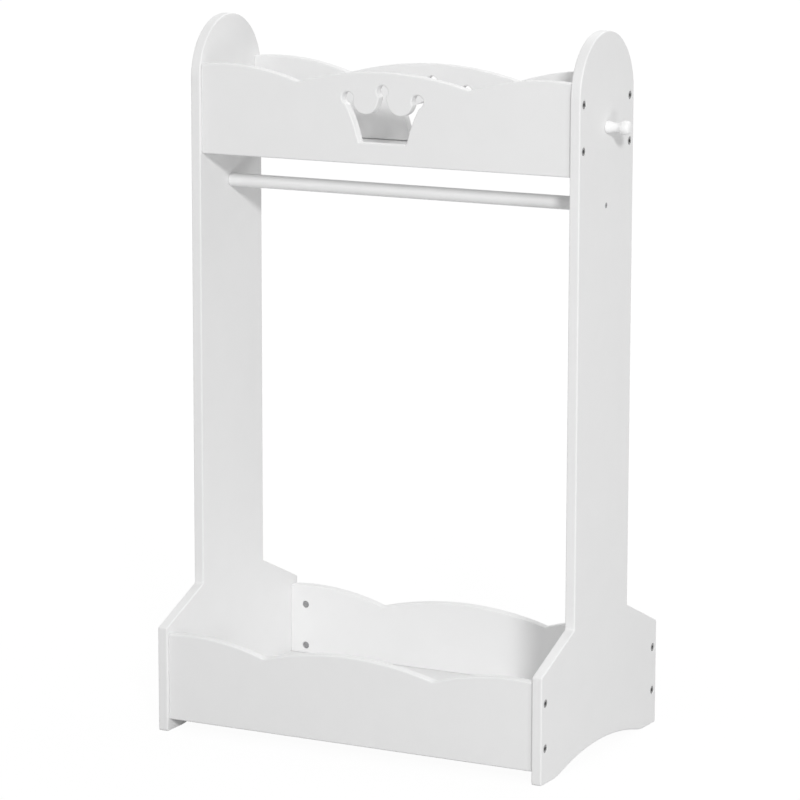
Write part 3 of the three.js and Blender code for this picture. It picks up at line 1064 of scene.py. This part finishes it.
@dataclass
class Shelf:
    """A board that closes the tray or the bin from below, in millimetres."""

    stock: Stock
    name: str
    top: float
    panel: WavyPanel
    dowel: float = 8.0
    dowel_in_side: float = 10.0
    dowel_in_shelf: float = 20.0
    dowel_inset: float = 30.0
    edge_break: float = 0.3

    @property
    def depth(self) -> float:
        """Its size from front to back."""
        into = self.panel.rebate_depth - self.stock.clearance
        return 2.0 * (self.panel.middle + into) - self.stock.board

    @property
    def middle(self) -> float:
        """Height of its middle."""
        return self.top - self.stock.board / 2.0

    def dowel_places(self) -> list[float]:
        """Where its dowels lie from front to back."""
        away = self.depth / 2.0 - self.dowel_inset
        return [-away, away]

    def build(self) -> Piece:
        """Builds the board, its long edges rounded to fit into the rebates.

        Returns:
            The finished board.
        """
        length = self.stock.board_length
        origin = Vector((length / 2.0, 0.0, self.middle)) * MM
        pen = Pen(f"{self.name}_board", origin, Y_AXIS, Z_AXIS)
        x, y = self.depth / 2.0, self.stock.board / 2.0
        lower, upper = self.edge_break, self.panel.rebate_depth
        corners = [(x, -y), (x, y), (-x, y), (-x, -y)]
        arcs = [
            corner_arc(corners[i - 1], corners[i], corners[(i + 1) % 4], radius)
            for i, radius in enumerate((lower, upper, upper, lower))
        ]
        pen.start((lower - x, -y))
        pen.belt(arcs, 0.0, 0.0)
        board = pen.plate(length)
        hole = [(self.dowel + 2.0 * self.stock.clearance, self.dowel_in_shelf)]
        drills = []
        for side in Side:
            for place in self.dowel_places():
                end = Vector((side.value * length / 2.0, place, self.middle))
                drills.append(drill(end, X_AXIS * -side.value, hole))
        cut(board, drills)
        return self.stock.paint(board, Z_AXIS)


@dataclass
class Rail:
    """The round hanging rail, in millimetres."""

    stock: Stock
    height: float
    diameter: float = 19.0
    end_break: float = 0.6
    pilot: float = 4.6
    pilot_depth: float = 32.0

    def build(self) -> Piece:
        """Turns the rail along X, with pilot holes in its ends.

        Returns:
            The finished rail.
        """
        length, radius = self.stock.board_length, self.diameter / 2.0
        hole, depth = self.pilot / 2.0, self.pilot_depth
        pen = Pen("hanging_rail_rod", Vector((-length / 2.0, 0.0, self.height)) * MM, X_AXIS, Z_AXIS)
        pen.start((depth, 0.0))
        pen.line((depth, hole), (0.0, hole))
        pen.rounded((0.0, radius), self.end_break)
        pen.rounded((length, radius), self.end_break)
        pen.line((length, hole), (length - depth, hole), (length - depth, 0.0))
        return dress(pen.lathe(2 * ROUND_STEPS), TURNING_PAINT)


@dataclass
class Peg:
    """A turned peg with a waist and a rounded knob, in millimetres."""

    stock: Stock
    height: float
    length: float = 35.0
    base: float = 17.2
    waist: float = 12.2
    knob: float = 19.2
    waist_at: float = 15.0
    knob_at: float = 27.0
    foot_break: float = 0.5
    pilot: float = 4.6
    pilot_depth: float = 22.0
    curve_steps: int = 14
    knob_steps: int = 16

    def build(self, side: Side) -> Piece:
        """Turns the peg on the left or the right.

        Args:
            side: left or right.

        Returns:
            The finished peg.
        """
        foot = Vector((side.value * (self.stock.width / 2.0 + self.stock.clearance), 0.0, self.height))
        base, waist, knob, hole = (size / 2.0 for size in (self.base, self.waist, self.knob, self.pilot))
        low, high, tip = self.waist_at, self.knob_at, self.length
        rise, end = high - low, tip - high
        pen = Pen(f"{side.name.lower()}_turned_peg", foot * MM, X_AXIS * side.value, Z_AXIS)
        pen.start((self.pilot_depth, 0.0))
        pen.line((self.pilot_depth, hole), (0.0, hole))
        pen.rounded((0.0, base), self.foot_break)
        # The factors say how full each curve is
        pen.curve((0.4 * low, base), (0.5 * low, waist), (low, waist), self.curve_steps)
        pen.curve((low + 0.5 * rise, waist), (high - 0.6 * rise, knob), (high, knob), self.curve_steps)
        pen.curve((high + 0.7 * end, knob), (tip, 0.75 * knob), (tip, 0.0), self.knob_steps)
        return dress(pen.lathe(2 * ROUND_STEPS), TURNING_PAINT, sharpest=50.0)


@dataclass
class Bolt:
    """A socket-head bolt along X, the underside of its head at the origin."""

    fastening: Fastening
    under_head: float
    rim: float = 0.6
    rim_steps: int = 5
    tip: float = 0.8

    def build(self) -> Piece:
        """Turns the bolt and sinks the socket into its head.

        Returns:
            The finished bolt.
        """
        fast = self.fastening
        end = -self.under_head - fast.reach
        shank, head, top = fast.bolt / 2.0, fast.head / 2.0, fast.head_height
        pen = Pen("bolt", ORIGIN, X_AXIS, Z_AXIS)
        pen.start((end, 0.0))
        pen.line((end, shank - self.tip), (end + self.tip, shank), (0.0, shank), (0.0, head))
        pen.rounded((top, head), self.rim, self.rim_steps)
        pen.line((top, 0.0))
        bolt = pen.lathe(ROUND_STEPS)
        bpy.ops.object.select_all(action="DESELECT")
        bpy.ops.mesh.primitive_cylinder_add(
            vertices=6,
            radius=fast.socket / 2.0 / math.cos(FULL_TURN / 12.0) * MM,
            depth=2.0 * fast.socket_depth * MM,
            location=X_AXIS * (top * MM),
            rotation=(0.0, FULL_TURN / 4.0, 0.0),
        )
        cut(bolt, [bpy.context.object])
        # The bolt's colour carries painted shade for the counterbore round its head.
        return dress(bolt, BOLT_STEEL_AND_PAINTED_SHADE)


@dataclass
class BarrelNut:
    """A barrel nut along Y, centred, with its slotted end towards +Y."""

    fastening: Fastening
    stock: Stock
    rim: float = 0.4

    def build(self) -> Piece:
        """Turns the nut and cuts its cross hole and slot.

        Returns:
            The finished nut.
        """
        fast = self.fastening
        half = self.stock.board / 2.0 - fast.nut_cover
        radius, beyond = fast.nut / 2.0, fast.nut
        pen = Pen("nut", ORIGIN, Y_AXIS, Z_AXIS)
        pen.start((-half, 0.0))
        pen.rounded((-half, radius), self.rim)
        pen.rounded((half, radius), self.rim)
        pen.line((half, 0.0))
        nut = pen.lathe(ROUND_STEPS)
        cross = fast.bolt / 2.0 + self.stock.clearance
        hole = [(-beyond, 0.0), (-beyond, cross), (beyond, cross), (beyond, 0.0)]
        cut(nut, [turned("cross_hole", ORIGIN, X_AXIS, hole)])
        cut(nut, [block(Y_AXIS * half, (2.0 * beyond, 2.0 * fast.slot_depth, fast.slot_width))])
        return dress(nut, NUT_STEEL)


@dataclass
class Screw:
    """A countersunk screw along X, the face of its head at the origin."""

    panel: SidePanel
    length: float
    rim: float = 0.3
    rim_taper: float = 0.1
    recess_width: float = 1.0
    recess_length: float = 4.6
    recess_depth: float = 1.6

    def build(self) -> Piece:
        """Turns the screw and sinks the cross recess into its head.

        Returns:
            The finished screw.
        """
        shank, head = self.panel.screw / 2.0, self.panel.screw_head / 2.0
        profile = [
            (-self.length, 0.0),
            (self.panel.screw - self.length, shank),
            (-self.panel.screw_head_height, shank),
            (-self.rim, head),
            (0.0, head - self.rim_taper),
            (0.0, 0.0),
        ]
        screw = turned("screw", ORIGIN, X_AXIS, profile)
        deep, wide, long = 2.0 * self.recess_depth, self.recess_width, self.recess_length
        for wing in ((deep, wide, long), (deep, long, wide)):
            cut(screw, [block(ORIGIN, wing)])
        return dress(screw, NUT_STEEL)


@dataclass
class Rack:
    """The whole rack, in millimetres."""

    stock: Stock = field(default_factory=Stock)
    fastening: Fastening = field(default_factory=Fastening)
    rail_grip: float = 30.0
    peg_grip: float = 20.0

    def __post_init__(self) -> None:
        """Lays out the sub-assemblies from the shared sizes."""
        stock, fastening = self.stock, self.fastening
        inset = stock.panel_inset + stock.board / 2.0
        upper_sizes = {"bottom": 809.8, "height": 126.2, "middle": stock.post_depth / 2.0 - inset}
        lower_sizes = {"bottom": 17.0, "height": 123.8, "middle": stock.base_depth / 2.0 - inset}
        upper = WavyPanel(stock, fastening, "upper", **upper_sizes, rebate=17.2, has_crown=True)
        lower = WavyPanel(stock, fastening, "lower", **lower_sizes, rebate=21.3, has_crown=False)
        tray = Shelf(stock, "upper_shelf", top=826.0, panel=upper)
        floor = Shelf(stock, "base_shelf", top=38.0, panel=lower)
        self.panels, self.shelves = [upper, lower], [tray, floor]
        self.side = SidePanel(stock, fastening, self.panels, self.shelves)
        self.slots = {row["node"]: row["material_slot"] for row in frame["record"]["subparts"]}

    def _mount(self, piece: Piece, node: str) -> None:
        """Lets a finished piece stand for its node.

        Args:
            piece: the piece.
            node: the node's name.
        """
        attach(piece, "root")
        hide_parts(node)
        log.info("%s stands for %s", piece.name, node)

    def _place(self, master: Piece, name: str, node: str, place: Triple, about: bool) -> None:
        """Mounts a copy of a master piece.

        Args:
            master: what is copied.
            name: the copy's name.
            node: the node that it stands for.
            place: where it goes, in millimetres.
            about: whether it is turned half round.
        """
        choose(master)
        bpy.ops.object.duplicate()
        piece = bpy.context.object
        piece.name = piece.data.name = name
        turn = Matrix.Rotation(math.pi if about else 0.0, 4, "Z")
        piece.data.transform(Matrix.Translation(Vector(place) * MM) @ turn)
        self._mount(piece, node)

    def build_boards(self) -> None:
        """Builds the side panels, the wavy panels and the shelves."""
        for side in Side:
            self._mount(self.side.build(side), f"{side.name.lower()}_side_panel")
        for panel in self.panels:
            for face in Face:
                self._mount(panel.build(face), f"{panel.level}_{face.name.lower()}_panel")
        for shelf in self.shelves:
            self._mount(shelf.build(), shelf.name)

    def build_turnings(self) -> None:
        """Builds the rail and the pegs."""
        self._mount(Rail(self.stock, self.side.rail_height).build(), "hanging_rail")
        peg = Peg(self.stock, self.side.peg_height)
        for side in Side:
            self._mount(peg.build(side), f"{side.name.lower()}_peg")

    def build_bolts(self) -> None:
        """Builds one bolt and one barrel nut, and mounts a copy of each at every place."""
        fast, stock = self.fastening, self.stock
        under_head = stock.board - fast.sunk - fast.head_height
        bolt = Bolt(fast, under_head).build()
        nut = BarrelNut(fast, stock).build()
        for panel in self.panels:
            for face in Face:
                for side in Side:
                    for row, height in fast.heights(panel.height).items():
                        where = f"{panel.level}_{face.name.lower()}_{side.name.lower()}_{row}"
                        y, z = face.value * panel.middle, panel.bottom + height
                        seat = (side.value * (stock.inner_face + under_head), y, z)
                        self._place(bolt, f"bolt_{where}", f"{where}_bolt", seat, side is Side.LEFT)
                        bed = (side.value * (stock.inner_face - fast.nut_setback), y, z)
                        self._place(nut, f"barrel_{where}", f"{where}_nut", bed, face is Face.BACK)
        bpy.data.objects.remove(bolt)
        bpy.data.objects.remove(nut)

    def build_screws(self) -> None:
        """Builds the screws of the rail and of the pegs."""
        inner, panel = self.stock.inner_face, self.side
        through = self.stock.board - panel.screw_sunk
        rail_screw = Screw(panel, through + self.rail_grip).build()
        peg_screw = Screw(panel, through + self.peg_grip).build()
        for side in Side:
            name = side.name.lower()
            seat = (side.value * (inner + through), 0.0, panel.rail_height)
            self._place(rail_screw, f"{name}_rail_fixing", f"{name}_rail_screw", seat, side is Side.LEFT)
            seat = (side.value * (inner + panel.screw_sunk), 0.0, panel.peg_height)
            self._place(peg_screw, f"{name}_peg_fixing", f"{name}_peg_screw", seat, side is Side.RIGHT)
        bpy.data.objects.remove(rail_screw)
        bpy.data.objects.remove(peg_screw)

    def dress_dowels(self) -> None:
        """Gives the hidden dowels, which keep their solids, a finish."""
        for name, node in frame["nodes"].items():
            if name.endswith("_dowel"):
                node.data.materials.clear()
                node.data.materials.append(BEECH.material())


# Studio


@dataclass(frozen=True)
class Lamp:
    """A round lamp that shines at the middle of the rack, in metres and watts."""

    name: str
    direction: Triple
    distance: float
    size: float
    power: float

    def hang(self, aim: Vector) -> None:
        """Hangs the lamp.

        Args:
            aim: the place at which it shines.
        """
        lamp = bpy.data.lights.new(self.name, "AREA")
        lamp.shape = "DISK"
        lamp.size = self.size
        lamp.energy = self.power
        holder = bpy.data.objects.new(self.name, lamp)
        bpy.context.scene.collection.objects.link(holder)
        away = Vector(self.direction).normalized()
        holder.location = aim + away * self.distance
        holder.rotation_euler = away.to_track_quat("Z", "Y").to_euler()


KEY_LAMP = Lamp("key", (29.0, -38.0, 21.3), 10.0, 1.2, 460.0)
TOP_LAMP = Lamp("top", (0.0, 0.7, 1.0), 3.2, 2.4, 30.0)
FRONT_LAMP = Lamp("front", (-0.7, -0.7, 0.3), 3.4, 2.4, 9.0)
LOW_LAMP = Lamp("low", (1.0, -0.6, -0.12), 2.2, 0.4, 4.2)
SIDE_LAMP = Lamp("side", (1.0, -0.15, 0.0), 2.0, 0.8, 1.3)


@dataclass
class Studio:
    """Floor, lamps, world and camera, in metres and degrees, the sensor in millimetres."""

    lamps: tuple[Lamp, ...] = (KEY_LAMP, TOP_LAMP, FRONT_LAMP, LOW_LAMP, SIDE_LAMP)
    aim: Triple = (0.0, 0.0, 0.5)
    fill: float = 0.446
    floor_size: float = 80.0
    floor_colour: float = 0.45
    floor_glow: float = 0.9
    glow_near: float = 1.065
    glow_far: float = 1.11
    glow_reach: float = 4.0
    camera_place: Triple = (2.440125, -4.654385, 1.446913)
    camera_angles: Triple = (27.8019, 10.5199, 0.12)
    camera_reach: float = 200.0
    sensor: float = 36.0
    focal_pixels: float = 3820.694
    picture_pixels: float = 800.0

    def _seen(self, sheet: NodeSheet) -> Socket:
        """Whether a ray comes from the camera, directly or through gloss or glass.

        Args:
            sheet: where the nodes are laid out.

        Returns:
            The socket that holds 1 where it does and 0 elsewhere.
        """
        path = sheet.add("LightPath").outputs
        total = path["Is Camera Ray"]
        for name in ("Is Glossy Ray", "Is Transmission Ray"):
            total = sheet.add("Math", {0: total, 1: path[name]}, operation="MAXIMUM").outputs[0]
        return total

    def build_floor(self) -> None:
        """Makes a pale floor that looks white and keeps the rack's shadow."""
        bpy.ops.object.select_all(action="DESELECT")
        bpy.ops.mesh.primitive_plane_add(size=self.floor_size)
        floor = bpy.context.object
        floor.name = "studio_floor"
        material = bpy.data.materials.new("studio_white")
        sheet = NodeSheet(material)
        matt = sheet.add("BsdfDiffuse", {"Color": (*[self.floor_colour] * 3, 1.0)})
        away = sheet.add("VectorMath", {0: sheet.place()}, operation="LENGTH").outputs["Value"]
        ends = {"From Max": self.glow_reach, "To Min": self.glow_near, "To Max": self.glow_far}
        strength = sheet.add("MapRange", {"Value": away, **ends})
        glow = sheet.add("Emission", {"Strength": strength.outputs[0]})
        share = sheet.add("Math", {0: self._seen(sheet), 1: self.floor_glow}, operation="MULTIPLY")
        sheet.end(sheet.mixed(share.outputs[0], matt, glow))
        floor.data.materials.append(material)

    def build_world(self) -> None:
        """Makes a world that looks white and lights softly from all round."""
        world = bpy.data.worlds.new("studio")
        bpy.context.scene.world = world
        sheet = NodeSheet(world)
        soft = sheet.add("Background", {"Color": WHITE, "Strength": self.fill})
        white = sheet.add("Background", {"Color": WHITE})
        sheet.end(sheet.mixed(self._seen(sheet), soft, white))

    def build_camera(self) -> None:
        """Sets up the camera at the photograph's place and angle."""
        yaw, pitch, roll = (math.radians(angle) for angle in self.camera_angles)
        camera = bpy.data.cameras.new("camera")
        camera.sensor_width = self.sensor
        camera.lens = self.sensor * self.focal_pixels / self.picture_pixels
        camera.clip_end = self.camera_reach
        holder = bpy.data.objects.new("camera", camera)
        bpy.context.scene.collection.objects.link(holder)
        aimed = Matrix.Rotation(yaw, 4, "Z") @ Matrix.Rotation(FULL_TURN / 4.0 - pitch, 4, "X")
        rolled = aimed @ Matrix.Rotation(roll, 4, "Z")
        holder.matrix_world = Matrix.Translation(self.camera_place) @ rolled
        bpy.context.scene.camera = holder

    def build(self) -> None:
        """Builds the whole studio."""
        bpy.context.scene.view_settings.view_transform = "Standard"
        self.build_floor()
        self.build_world()
        for lamp in self.lamps:
            lamp.hang(Vector(self.aim))
        self.build_camera()


def main() -> None:
    """Builds the studio and the rack, piece by piece."""
    logging.basicConfig(level=logging.INFO, format="%(message)s")
    Studio().build()
    rack = Rack()
    rack.build_boards()
    rack.build_turnings()
    rack.build_bolts()
    rack.build_screws()
    rack.dress_dowels()


if __name__ == "__main__":
    main()
